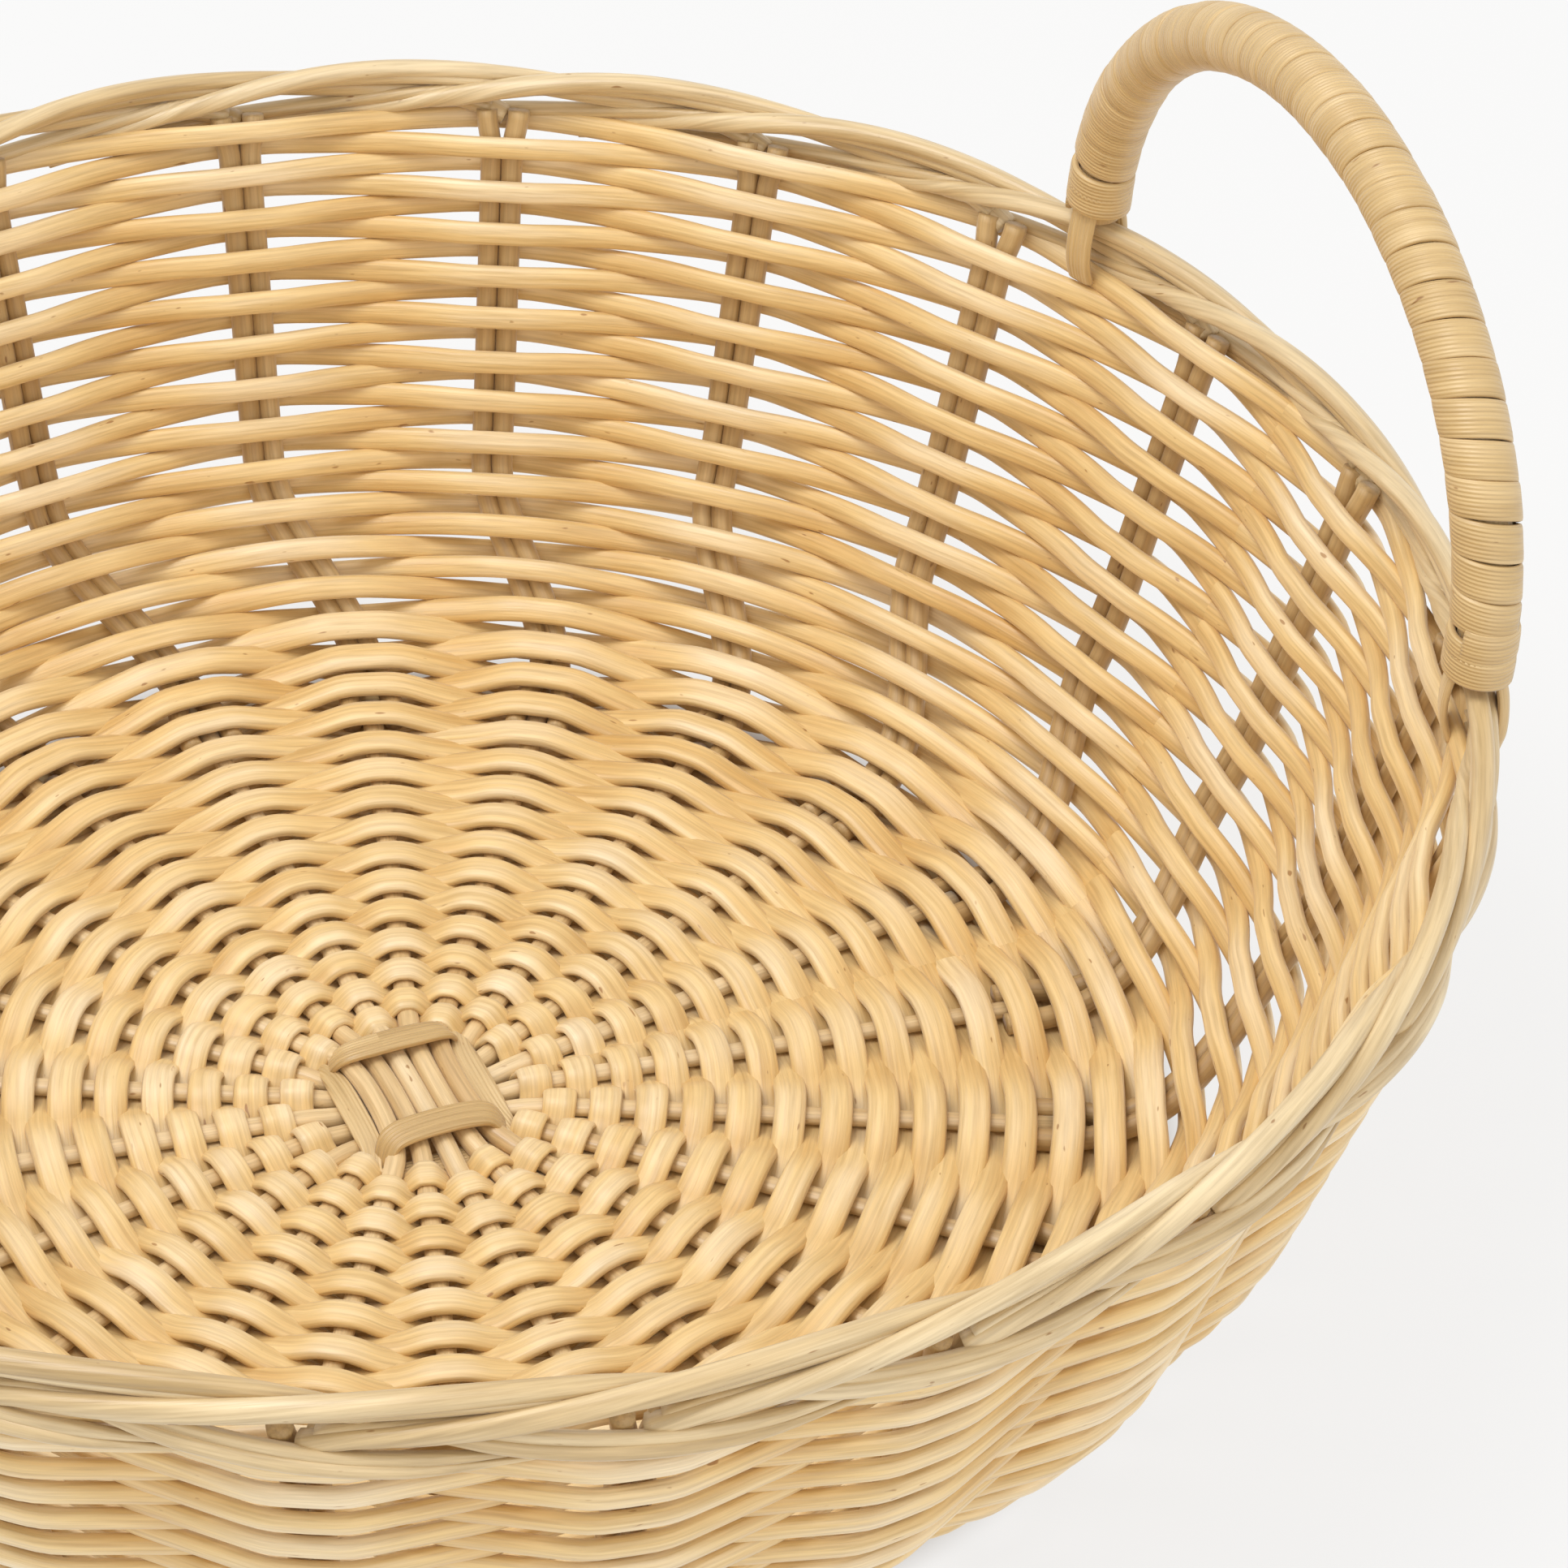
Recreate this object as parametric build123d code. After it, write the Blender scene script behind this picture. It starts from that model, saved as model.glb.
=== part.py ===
from build123d import *
import math
import os

# A round, shallow wicker basket with two small wrapped handles, in millimetres.
# The origin is at the centre of the underside, +Z is up, and the handles stand at +X and -X.
# Heights and radii along the basket's side are found from s, the distance along its profile
# from the centre of the base: flat base, tight turn-up, gentle bulge, straight flare to the rim.

# ---- driving dimensions ----
GROUPS = 22                     # spokes of the base, and pairs of side stakes
PITCH = 360 / GROUPS
SPOKE_DEG = 90 - 5 * PITCH      # the first spoke anticlockwise from +X
STICK_D = 3.4                   # base sticks
STAKE_D = 4.0                   # side stakes, which stand in pairs
WEAVER_D = 3.0                  # weaving rods
BORDER_D = 3.0                  # rods of the rim border
ROW_PITCH = 3.75                # from one woven row to the next, along the profile
SIDE_EXTRA = 0.1                # the side's rows are this much further apart
BASE_ROWS = 21
ROWS = 49
CLEAR = 0.25                    # between a weaver and the rods that it passes
TOUCH = 0.1                     # between rods that lie side by side

BASE_FLAT_R = 107.0             # where the flat base ends
TURN_UP_R = 28.0                # radius of the turn-up
TURN_UP_DEG = 42.0
BULGE_R = 75.0                  # radius of the bulged side above it
FLARE_DEG = 72.0                # slope of the side below the rim

CROSS_HALF = 15.0               # half length of the sticks' straight middle
FAN_R = 25.0                    # the sticks are evenly spread from here outwards
STICK_END_R = 104.0
STAKE_FOOT_R = 76.0             # the stakes are pushed into the base this far
STAKE_LEAD_DEG = 6.5            # a stake pair stands this far round from its spoke
STAKE_TOP_RISE = 80.9
FIRST_ROW_S = 27.0

BORDER_R = 163.6                # mid radius of the border
BORDER_HALF = 2.5               # half the distance between its inner and outer rods
BORDER_TOP = 97.2               # height of the centre of the turn over the top
BORDER_LOW_OUT = 88.0           # lowest rod centre outside
BORDER_ROD_STEP = 3.6           # from one rod to the next, measured round the border's section
BORDER_SPACES = 3               # each border rod spans this many spaces between stakes
BORDER_STEPS = 4                # runs in each space

HANDLE_FOOT_DEG = 24.4          # the handle's feet, either side of its centre
HANDLE_FOOT_R = 162.9
HANDLE_RISE = 58.0              # of the bow's centre line above its feet
HANDLE_LEAN_DEG = 3.3
CORE_D = 8.0
WRAP_T = 1.2
BAND_T = 1.9
BAND_LENGTH = 9.0
TAIL_D = 2.8
TAIL_LOW = 86.5
BINDING_D = 1.5
BINDING_TURNS = 2
BINDING_GAP = 1.2
BINDING_STEP = 2.0              # from one turn of the binding to the next

SAMPLES = 400                   # places where the stakes' true line is read
STICK_LEVEL = STAKE_D / 2 + CLEAR + WEAVER_D     # height of the sticks' centres
STAKE_OFFSET = STAKE_D / 2 + TOUCH / 2
FOOT_OFFSET = (STICK_D + STAKE_D) / 2 + TOUCH
BORDER_SEAT = BORDER_TOP + BORDER_HALF + BORDER_D / 2 + TOUCH

os.makedirs("parts", exist_ok=True)


def polar(radius, degrees, height):
    a = math.radians(degrees)
    return Vector(radius * math.cos(a), radius * math.sin(a), height)


def beside(radius, degrees, height, offset):
    """A point moved sideways, along the circumference, by offset."""
    a = math.radians(degrees)
    return polar(radius, degrees, height) + Vector(-math.sin(a), math.cos(a), 0) * offset


# ---- the basket's profile ----
TURN = math.radians(TURN_UP_DEG)
FLARE = math.radians(FLARE_DEG)
TURN_S = BASE_FLAT_R + TURN_UP_R * TURN
TURN_END = (
    BASE_FLAT_R + TURN_UP_R * math.sin(TURN),
    STICK_LEVEL + TURN_UP_R * (1 - math.cos(TURN)),
)
BULGE_S = TURN_S + BULGE_R * (FLARE - TURN)
BULGE_END = (
    TURN_END[0] + BULGE_R * (math.sin(FLARE) - math.sin(TURN)),
    TURN_END[1] + BULGE_R * (math.cos(TURN) - math.cos(FLARE)),
)


def profile(s):
    """Radius, height and slope angle of the side's middle surface."""
    if s < BASE_FLAT_R:
        return s, STICK_LEVEL, 0.0
    if s < TURN_S:
        a = (s - BASE_FLAT_R) / TURN_UP_R
        return BASE_FLAT_R + TURN_UP_R * math.sin(a), STICK_LEVEL + TURN_UP_R * (1 - math.cos(a)), a
    if s < BULGE_S:
        a = TURN + (s - TURN_S) / BULGE_R
        return (
            TURN_END[0] + BULGE_R * (math.sin(a) - math.sin(TURN)),
            TURN_END[1] + BULGE_R * (math.cos(TURN) - math.cos(a)),
            a,
        )
    up = s - BULGE_S
    return BULGE_END[0] + up * math.cos(FLARE), BULGE_END[1] + up * math.sin(FLARE), FLARE


def s_at_rise(rise):
    """The place on the straight flare this high above the sticks."""
    return BULGE_S + (STICK_LEVEL + rise - BULGE_END[1]) / math.sin(FLARE)


# ---- rods ----
def rod(path, diameter):
    section = Plane(origin=path @ 0, z_dir=path % 0) * Circle(diameter / 2)
    return sweep(section, path=path)


def bent_rod(points, radii, diameter):
    return rod(FilletPolyline(*points, radius=radii), diameter)


def write(name, solids):
    solids = list(solids)
    part = solids[0] if len(solids) == 1 else Compound(children=solids)
    export_step(part, f"parts/{name}.step")
    print(name, len(solids), round(sum(s.volume for s in solids)))


# ---- base sticks: two crossed groups, spread to even spokes ----
def base_stick(axis_deg, index, count, level):
    """One stick of a group that runs along axis_deg; its two ends take opposite spokes."""
    place = index - (count - 1) / 2
    shift = place * (STICK_D + TOUCH)
    along = polar(1, axis_deg, 0)
    across = polar(1, axis_deg + 90, 0)
    ends = [
        (axis_deg + place * PITCH, 1),
        (axis_deg + 180 - place * PITCH, -1),
    ]
    half = []
    for degrees, side in ends:
        middle = along * (side * CROSS_HALF) + across * shift + Vector(0, 0, level)
        spread = polar(FAN_R, degrees, STICK_LEVEL)
        half.append([polar(STICK_END_R, degrees, STICK_LEVEL), spread, middle])
    points = half[0] + half[1][::-1]
    return bent_rod(points, 8, STICK_D)


def base_sticks():
    for group, axis_deg, count, side in (("long", 90, 5, 1), ("cross", 0, 6, -1)):
        for i in range(count):
            level = STICK_LEVEL + side * (STICK_D + TOUCH) / 2
            write(f"base_stick_{group}_{i + 1}", [base_stick(axis_deg, i, count, level)])


# ---- the square binding that ties the crossed sticks ----
def binding_turn(turn):
    """A loop over the long group and under the cross group, or the other way on the next turn."""
    step = STICK_D + TOUCH
    far = step + BINDING_D / 2 + TOUCH / 2
    near = BINDING_D / 2 + TOUCH / 2
    points = []
    for quarter in range(4):
        crosses_long = quarter % 2 == 0
        over = crosses_long == (turn == 0)
        away = far if turn == 0 else near
        sticks = 3.0 if crosses_long else 2.5
        reach = sticks * step + BINDING_GAP + turn * BINDING_STEP
        arm = (5.5 - sticks) * step + BINDING_D / 2 + 2 * TOUCH + turn * BINDING_STEP / 2
        height = STICK_LEVEL + (away if over else -away)
        for sideways in (-arm, arm):
            points.append(beside(reach, 90 + 90 * quarter, height, sideways))
    return rod(FilletPolyline(*points, radius=1.6, close=True), BINDING_D)


# ---- side stakes: a pair of rods for each spoke ----
def stake_path(spoke_deg, side):
    """From beside the spoke's end in the base, up the side, to below the border."""
    turn_corner = BASE_FLAT_R + TURN_UP_R * math.tan(TURN / 2)
    reach = BULGE_R * math.tan((FLARE - TURN) / 2)
    bulge_corner = (
        TURN_END[0] + reach * math.cos(TURN),
        TURN_END[1] + reach * math.sin(TURN),
    )
    top_r, top_z, _ = profile(s_at_rise(STAKE_TOP_RISE))
    upright = spoke_deg + STAKE_LEAD_DEG
    points = [
        beside(STAKE_FOOT_R, spoke_deg, STICK_LEVEL, side * FOOT_OFFSET),
        beside(turn_corner, spoke_deg, STICK_LEVEL, side * FOOT_OFFSET),
        beside(bulge_corner[0], upright, bulge_corner[1], side * STAKE_OFFSET),
        beside(top_r, upright, top_z, side * STAKE_OFFSET),
    ]
    return FilletPolyline(*points, radius=[TURN_UP_R, BULGE_R * 0.6])


def side_stakes():
    pair = [rod(stake_path(0, side), STAKE_D) for side in (-1, 1)]
    for i in range(GROUPS):
        turned = [Rot(0, 0, SPOKE_DEG + i * PITCH) * stake for stake in pair]
        write(f"side_stake_{i + 1:02d}", turned)


def stake_track():
    """Where the first pair really stands: (radius, height, degrees, half width) along it."""
    paths = [stake_path(0, side) for side in (-1, 1)]
    track = []
    for i in range(SAMPLES + 1):
        a, b = [path @ (i / SAMPLES) for path in paths]
        middle = (a + b) / 2
        radius = math.hypot(middle.X, middle.Y)
        degrees = math.degrees(math.atan2(middle.Y, middle.X))
        track.append((radius, middle.Z, degrees, (a - b).length / 2 + STAKE_D / 2))
    return track


TRACK = stake_track()


def obstacle(s):
    """What a row at s passes: radius, height, slope, lead in degrees, half width, half depth."""
    radius, height, slope = profile(s)
    if s < STAKE_FOOT_R - WEAVER_D:
        return radius, height, slope, 0.0, STICK_D / 2, STICK_D / 2
    if s < STICK_END_R:
        return radius, height, slope, 0.0, FOOT_OFFSET + STAKE_D / 2, STAKE_D / 2
    near = min(TRACK, key=lambda p: math.hypot(p[0] - radius, p[1] - height))
    return near[0], near[1], slope, near[2], near[3], STAKE_D / 2


# ---- woven rows: closed rings that pass over and under alternate groups ----
def row(index):
    s = FIRST_ROW_S + index * ROW_PITCH + max(0, index - BASE_ROWS) * SIDE_EXTRA
    radius, height, slope, lead, half_width, half_depth = obstacle(s)
    lift = half_depth + WEAVER_D / 2 + CLEAR
    flat = half_width * 0.95
    space = 2 * math.pi * radius / GROUPS - 2 * flat
    turn = math.atan2(2 * lift, space)
    bend = min(7.0, 0.42 * min(2 * flat, space / math.cos(turn)) / math.tan(turn / 2 + 0.08))
    points = []
    for i in range(GROUPS):
        side = 1 if (i + index) % 2 else -1
        r = radius - side * lift * math.sin(slope)
        z = height + side * lift * math.cos(slope)
        for edge in (-flat, flat):
            points.append(beside(r, SPOKE_DEG + i * PITCH + lead, z, edge))
    return rod(FilletPolyline(*points, radius=bend, close=True), WEAVER_D)


def woven_rows():
    bands = [("base_weave", 0, BASE_ROWS, 4), ("side_weave", BASE_ROWS, ROWS, 6)]
    for name, start, stop, count in bands:
        for band in range(count):
            low = start + (stop - start) * band // count
            high = start + (stop - start) * (band + 1) // count
            write(f"{name}_{band + 1}", [row(i) for i in range(low, high)])


# ---- border: rods that rise outside, cross the top and tuck down inside ----
LEG_OUT = BORDER_TOP - BORDER_LOW_OUT
OVER = math.pi * BORDER_HALF


def border_section(d):
    """Radius and height at distance d up the outside, over the top and down the inside."""
    if d < LEG_OUT:
        return BORDER_R + BORDER_HALF, BORDER_LOW_OUT + d
    if d < LEG_OUT + OVER:
        a = (d - LEG_OUT) / BORDER_HALF
        return BORDER_R + BORDER_HALF * math.cos(a), BORDER_TOP + BORDER_HALF * math.sin(a)
    return BORDER_R - BORDER_HALF, BORDER_TOP - (d - LEG_OUT - OVER)


def border_rod(place):
    """Rods 0 and 1 start at the first stake pair, 2 and 3 at the next, and so on."""
    start = SPOKE_DEG + STAKE_LEAD_DEG + (place // 2) * PITCH
    step = 2 * BORDER_ROD_STEP / BORDER_STEPS
    points = []
    for n in range(BORDER_SPACES * BORDER_STEPS + 1):
        radius, height = border_section((place % 2) * BORDER_ROD_STEP + n * step)
        points.append(polar(radius, start + n * PITCH / BORDER_STEPS, height))
    return bent_rod(points, 12, BORDER_D)


def border_rods():
    for k in range(4):
        write(f"border_rods_{k + 1}", [border_rod(place) for place in range(k, 2 * GROUPS, 4)])


# ---- handles: a bow with forked feet, its wrapping and the bands at its feet ----
def bow_points(count, low):
    """Points round one bow at +X, from its foot at low degrees of the half ellipse."""
    foot = math.radians(HANDLE_FOOT_DEG)
    half = HANDLE_FOOT_R * math.sin(foot)
    lean = math.radians(HANDLE_LEAN_DEG)
    points = []
    for i in range(count + 1):
        a = math.radians(180 * i / count)
        up = HANDLE_RISE * math.sin(a)
        x = HANDLE_FOOT_R * math.cos(foot) + up * math.sin(lean)
        points.append(Vector(x, -half * math.cos(a), low + up * math.cos(lean)))
    return points


def bow_path():
    points = bow_points(12, BORDER_SEAT + 4)
    feet = [Vector(p.X, p.Y, BORDER_SEAT) for p in (points[0], points[-1])]
    return FilletPolyline(feet[0], *points[1:-1], feet[1], radius=50)


def tail(side_y, radial, sideways):
    """A rod end from inside the bow's foot, down beside the border."""
    degrees = side_y * HANDLE_FOOT_DEG
    outward = BORDER_HALF + (BORDER_D + TAIL_D) / 2 + TOUCH
    edge = BORDER_R + radial * outward
    inner = HANDLE_FOOT_R + radial * 1.5
    points = [
        beside(inner, degrees, BORDER_SEAT + 7, sideways * 0.6),
        beside(inner, degrees, BORDER_SEAT + 4, sideways * 0.6),
        beside(edge, degrees, BORDER_TOP + 1.5, sideways),
        beside(edge, degrees, TAIL_LOW, sideways),
    ]
    return bent_rod(points, 1.6, TAIL_D)


def handle(name, turn_deg):
    path = bow_path()
    band = BAND_LENGTH / path.length
    core = rod(path, CORE_D)
    for side_y in (-1, 1):
        core = core + tail(side_y, -1, 0)
        for sideways in (-1.6, 1.6):
            core = core + tail(side_y, 1, sideways)
    write(f"{name}_bow", [Rot(0, 0, turn_deg) * solid for solid in core.solids()])
    inner = CORE_D + 2 * TOUCH
    wrap_path = path.trim(band + 0.001, 1 - band - 0.001)
    wrap = rod(wrap_path, CORE_D + 2 * WRAP_T) - rod(wrap_path, inner)
    write(f"{name}_wrap", [Rot(0, 0, turn_deg) * solid for solid in wrap.solids()])
    gap = 0.35 / path.length
    for label, start, end in (("near", gap, band), ("far", 1 - band, 1 - gap)):
        foot_path = path.trim(start, end)
        foot_band = rod(foot_path, CORE_D + 2 * BAND_T) - rod(foot_path, inner)
        write(f"{name}_foot_band_{label}", [Rot(0, 0, turn_deg) * solid for solid in foot_band.solids()])


base_sticks()
write("cross_binding", [binding_turn(turn) for turn in range(BINDING_TURNS)])
side_stakes()
woven_rows()
border_rods()
handle("handle_right", 0)
handle("handle_left", 180)
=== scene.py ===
"""A round wicker basket of woven rods with two wrapped handles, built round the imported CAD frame.

Lengths are in millimetres and become metres where a mesh is made. Only those of the floor, the
lamps and the camera are in metres. The frame is the CAD's: the origin is at the centre of the
underside, +Z is up, and the handles stand at +X and -X.
"""

import math
import random

import bpy
import numpy as np
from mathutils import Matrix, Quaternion, Vector


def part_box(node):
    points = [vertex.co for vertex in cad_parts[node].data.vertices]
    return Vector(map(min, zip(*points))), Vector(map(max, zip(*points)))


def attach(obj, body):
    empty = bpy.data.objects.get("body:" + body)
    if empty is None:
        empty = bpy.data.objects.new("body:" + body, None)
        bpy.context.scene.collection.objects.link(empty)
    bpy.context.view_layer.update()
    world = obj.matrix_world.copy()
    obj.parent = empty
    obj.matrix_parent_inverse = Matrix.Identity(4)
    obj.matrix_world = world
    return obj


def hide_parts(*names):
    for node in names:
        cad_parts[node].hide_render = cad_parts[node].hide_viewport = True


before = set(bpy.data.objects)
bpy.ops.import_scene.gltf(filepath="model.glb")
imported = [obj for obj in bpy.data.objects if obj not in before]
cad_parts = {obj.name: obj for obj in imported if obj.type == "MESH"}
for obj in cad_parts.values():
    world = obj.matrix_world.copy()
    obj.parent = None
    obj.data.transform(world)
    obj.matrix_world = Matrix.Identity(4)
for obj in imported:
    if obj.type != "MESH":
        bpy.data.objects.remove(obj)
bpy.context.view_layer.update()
rng = random.Random(22)

MM = 0.001

# ---- driving dimensions, as in the CAD ----
GROUPS = 22                     # spokes of the base, and pairs of side stakes
PITCH = 360 / GROUPS
SPOKE_DEG = 90 - 5 * PITCH      # the first spoke anticlockwise from +X
STICK_D = 3.4
STAKE_D = 3.9
STICK_LEVEL = 5.25              # height of the base sticks' centres
ROW_PITCH = 3.75
FIRST_ROW_S = 27.0              # distance along the profile of the CAD's first row
SIDE_EXTRA = 0.1                # the side's rows are this much further apart
BASE_ROWS = 21
SIDE_ROWS = 28
BASE_BANDS = 4
SIDE_BANDS = 6

BASE_FLAT_R = 107.0             # where the flat base ends
TURN_UP_R = 28.0                # radius of the turn-up
TURN_UP = math.radians(42)
BULGE_R = 75.0                  # radius of the bulged side above it
FLARE = math.radians(72)        # slope of the side below the rim
STAKE_LEAD_DEG = 6.5            # a stake pair stands this far round from its spoke

RIM_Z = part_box("border_rods_1")[1].z / MM       # top of the border
BOW_TOP_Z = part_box("handle_right_bow")[1].z / MM


# ---- the basket's profile ----
TURN_S = BASE_FLAT_R + TURN_UP_R * TURN_UP
TURN_END = (
    BASE_FLAT_R + TURN_UP_R * math.sin(TURN_UP),
    STICK_LEVEL + TURN_UP_R * (1 - math.cos(TURN_UP)),
)
BULGE_S = TURN_S + BULGE_R * (FLARE - TURN_UP)
BULGE_END = (
    TURN_END[0] + BULGE_R * (math.sin(FLARE) - math.sin(TURN_UP)),
    TURN_END[1] + BULGE_R * (math.cos(TURN_UP) - math.cos(FLARE)),
)
LEAD_START_S = BASE_FLAT_R + 4  # the stakes lean round between these two
LEAD_END_S = BULGE_S - 14


def profile(s):
    """Radius, height and slope of the side's middle surface, s along it from the base's centre."""
    if s < BASE_FLAT_R:
        return s, STICK_LEVEL, 0.0
    if s < TURN_S:
        a = (s - BASE_FLAT_R) / TURN_UP_R
        return BASE_FLAT_R + TURN_UP_R * math.sin(a), STICK_LEVEL + TURN_UP_R * (1 - math.cos(a)), a
    if s < BULGE_S:
        a = TURN_UP + (s - TURN_S) / BULGE_R
        return (
            TURN_END[0] + BULGE_R * (math.sin(a) - math.sin(TURN_UP)),
            TURN_END[1] + BULGE_R * (math.cos(TURN_UP) - math.cos(a)),
            a,
        )
    up = s - BULGE_S
    return BULGE_END[0] + up * math.cos(FLARE), BULGE_END[1] + up * math.sin(FLARE), FLARE


# ---- geometry helpers ----
def ease(x, low, high):
    """0 below low, 1 above high, smooth between."""
    t = np.clip((x - low) / (high - low), 0, 1)
    return t * t * (3 - 2 * t)


def polar(radius, degrees, height):
    a = math.radians(degrees)
    return np.array([radius * math.cos(a), radius * math.sin(a), height])


def turned(points, degrees):
    """The points, turned about the basket's axis."""
    a = math.radians(degrees)
    points = np.asarray(points, float)
    x = points[:, 0] * math.cos(a) - points[:, 1] * math.sin(a)
    y = points[:, 0] * math.sin(a) + points[:, 1] * math.cos(a)
    return np.stack([x, y, points[:, 2]], 1)


def stake_lead(s):
    """How far round, in degrees, the stakes have moved from their spokes."""
    return STAKE_LEAD_DEG * ease(s, LEAD_START_S, LEAD_END_S)


def on_wall(s, degrees, sideways):
    """A point of the side's middle surface, moved sideways round the basket."""
    radius, height, _ = profile(s)
    a = math.radians(degrees)
    around = np.array([-math.sin(a), math.cos(a), 0.0])
    return polar(radius, degrees, height) + around * sideways


def smooth(points, steps):
    """A smooth line through the runs' middles, which ends at the first and last points."""
    p = [np.asarray(q, float) for q in points]
    middles = [p[0]] + [(a + b) / 2 for a, b in zip(p[1:-2], p[2:-1])] + [p[-1]]
    line = []
    for k in range(len(middles) - 1):
        for t in np.arange(steps) / steps:
            line.append((1 - t) ** 2 * middles[k] + 2 * t * (1 - t) * p[k + 1] + t * t * middles[k + 1])
    return np.array(line + [p[-1]])


def smooth_loop(points, steps):
    """A smooth closed line through the runs' middles."""
    p = np.array(points)
    line = []
    for k in range(len(p)):
        a, b, c = p[k - 1], p[k], p[(k + 1) % len(p)]
        for t in np.arange(steps) / steps:
            line.append((1 - t) ** 2 * (a + b) / 2 + 2 * t * (1 - t) * b + t * t * (b + c) / 2)
    return np.array(line)


# ---- strands: every rod and cane is one closed tube, with coordinates that follow its grain ----
STRAND_RING = 12                # points round a strand's section
FINE_RING = 14
BOW_RING = 16
GRAIN_RUN = 4000                # each strand starts somewhere along this length of grain

# Exponents of the sections: 1 is an ellipse, and nearer 0 is nearer a rectangle.
ROUND_ROD = 1.0
PEELED_ROD = 0.95
PRESSED_ROD = 0.8
FLAT_WEAVER = 0.75
SPLIT_ROD = 0.6
FLAT_BAND = 0.5
FLAT_CANE = 0.42


class Bundle:
    """Collects strands into one mesh."""

    def __init__(self, ring=STRAND_RING):
        self.ring = ring
        self.points = []
        self.faces = []
        self.grain = []
        self.tint = []
        self.count = 0

    def add(self, path, normals, width, thick, closed=False, square=PRESSED_ROD, tint=None):
        """path and normals are n x 3; width lies across the strand and thick along its normal.
        tint, from 0 dark to 1 light, is one number or one for each point of the path, and is
        drawn at random if it isn't given."""
        path = np.asarray(path, float)
        n = len(path)
        width = np.broadcast_to(np.asarray(width, float), n)
        thick = np.broadcast_to(np.asarray(thick, float), n)
        if closed:
            step = np.roll(path, -1, 0) - np.roll(path, 1, 0)
        else:
            step = np.gradient(path, axis=0)
        tangent = step / np.linalg.norm(step, axis=1, keepdims=True)
        side = np.cross(tangent, np.broadcast_to(normals, (n, 3)))
        side /= np.linalg.norm(side, axis=1, keepdims=True)
        normal = np.cross(side, tangent)
        a = np.arange(self.ring) * 2 * math.pi / self.ring
        x = np.sign(np.cos(a)) * np.abs(np.cos(a)) ** square
        y = np.sign(np.sin(a)) * np.abs(np.sin(a)) ** square
        across = x[None, :] * width[:, None] / 2
        through = y[None, :] * thick[:, None] / 2
        rings = path[:, None] + side[:, None] * across[..., None] + normal[:, None] * through[..., None]
        gaps = np.linalg.norm(np.diff(path, axis=0, append=path[:1]), axis=1)
        along = np.concatenate([[0], np.cumsum(gaps)]) + rng.uniform(0, GRAIN_RUN)
        spans = n if closed else n - 1
        j = np.repeat(np.arange(spans), self.ring)
        i = np.tile(np.arange(self.ring), spans)
        i2 = (i + 1) % self.ring
        j2 = (j + 1) % n
        quads = np.stack([j * self.ring + i, j * self.ring + i2, j2 * self.ring + i2, j2 * self.ring + i], 1)
        lengths = np.stack([along[j], along[j], along[j + 1], along[j + 1]], 1)
        grain = np.stack([lengths, across.ravel()[quads], through.ravel()[quads]], 2)
        self.faces.extend((quads + self.count).tolist())
        self.grain.append(grain.reshape(-1, 3))
        if not closed:
            for end, order in ((0, 1), (n - 1, -1)):
                cap = np.arange(self.ring)[::-order] + end * self.ring
                self.faces.append((cap + self.count).tolist())
                self.grain.append(
                    np.stack([np.full(self.ring, along[end]), across.ravel()[cap], through.ravel()[cap]], 1)
                )
        self.points.append(rings.reshape(-1, 3))
        shade = np.broadcast_to(rng.random() if tint is None else tint, n)
        self.tint.append(np.repeat(shade, self.ring))
        self.count += n * self.ring

    def make(self, name, finish, *nodes):
        """The piece; finish is its material and the name of its slot."""
        material, slot = finish
        mesh = bpy.data.meshes.new(name)
        mesh.from_pydata((np.concatenate(self.points) * MM).tolist(), [], self.faces)
        grain = mesh.attributes.new("grain", "FLOAT_VECTOR", "CORNER")
        grain.data.foreach_set("vector", (np.concatenate(self.grain) * MM).ravel())
        tint = mesh.attributes.new("tint", "FLOAT", "POINT")
        tint.data.foreach_set("value", np.concatenate(self.tint))
        mesh.polygons.foreach_set("use_smooth", [True] * len(mesh.polygons))
        mesh.materials.append(material)
        piece = bpy.data.objects.new(name, mesh)
        bpy.context.scene.collection.objects.link(piece)
        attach(piece, "root")
        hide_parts(*nodes)


# ---- materials: the noises' scales are per metre along, across and through the strand ----
WHITE = (1, 1, 1)
NOISE_ROUGHNESS = 0.6
FIBRE_DETAIL = 3.0
FLECK_DETAIL = 1.0
FIBRE_RUN = 60                  # scale along the strand
STREAK_RUN = 22
STREAK_ACROSS = 0.3             # their scale across the strand, as a share of the fibres'
PATCH_SCALE = (16, 90, 90)
FLECK_SCALE = (260, 900, 900)
PATCH_WEIGHT = 0.45             # what the patches, the streaks and the strand's tint, which in the weavers also carries painted light and shade, do to its colour
STREAK_WEIGHT = 0.35
TINT_WEIGHT = 0.2
DARK_AT = 0.28
MID_AT = 0.5
LIGHT_AT = 0.72
CREASE = (1, 0.95, 0.87)        # the hollows between the fibres are warmer
CREASE_AT = 0.3
FIBRE_AT = 0.62
FLECK = (0.55, 0.4, 0.26)       # small dark marks, where their noise is lowest
FLECK_AT = 0.2
CLEAR_AT = 0.25
ROUGHNESS_RANGE = 0.22
STREAK_RELIEF = 0.8             # against the fibres' relief
RIB_RELIEF = 0.6
RELIEF_DEPTH = 0.0002           # metres
SPECULAR = 0.9
SHEEN = 0.2
SHEEN_ROUGHNESS = 0.5


def node(tree, kind, **values):
    made = tree.nodes.new(kind)
    for key, value in values.items():
        setattr(made, key, value)
    return made


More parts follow.
